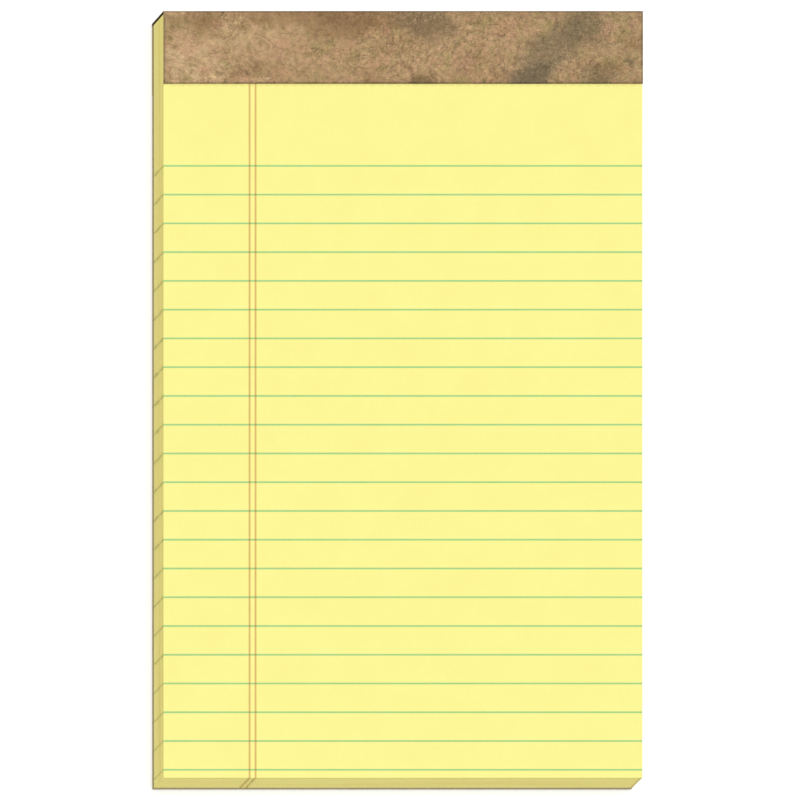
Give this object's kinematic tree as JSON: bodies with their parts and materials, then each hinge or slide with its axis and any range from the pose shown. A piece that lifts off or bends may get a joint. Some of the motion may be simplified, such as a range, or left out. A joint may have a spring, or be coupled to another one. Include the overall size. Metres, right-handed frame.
{
  "type": "legal pad",
  "caption": "Small ruled writing pad: yellow sheets with green rules and red margin lines, chipboard back, and a brown paper strip folded over the stapled top end.",
  "frame": {"origin": "on the table, under the middle of the pad lying on its board", "axes": "+Y runs up the page towards the bound end, +Z points out of the page, +X runs to the right of a reader"},
  "size_m": [0.127, 0.2032, 0.0062],
  "materials": {
    "ruled_paper": "matt",
    "chipboard": "matt",
    "binding_paper": "matt",
    "galvanised_wire": "satin",
    "green_ink": "matt",
    "red_ink": "matt"
  },
  "bodies": {
    "root": {"sheet_block": "ruled_paper", "backing_board": "chipboard", "binding_strip": "binding_paper", "staples": "galvanised_wire", "printed_rules": "green_ink", "printed_margins": "red_ink"}
  },
  "joints": []
}
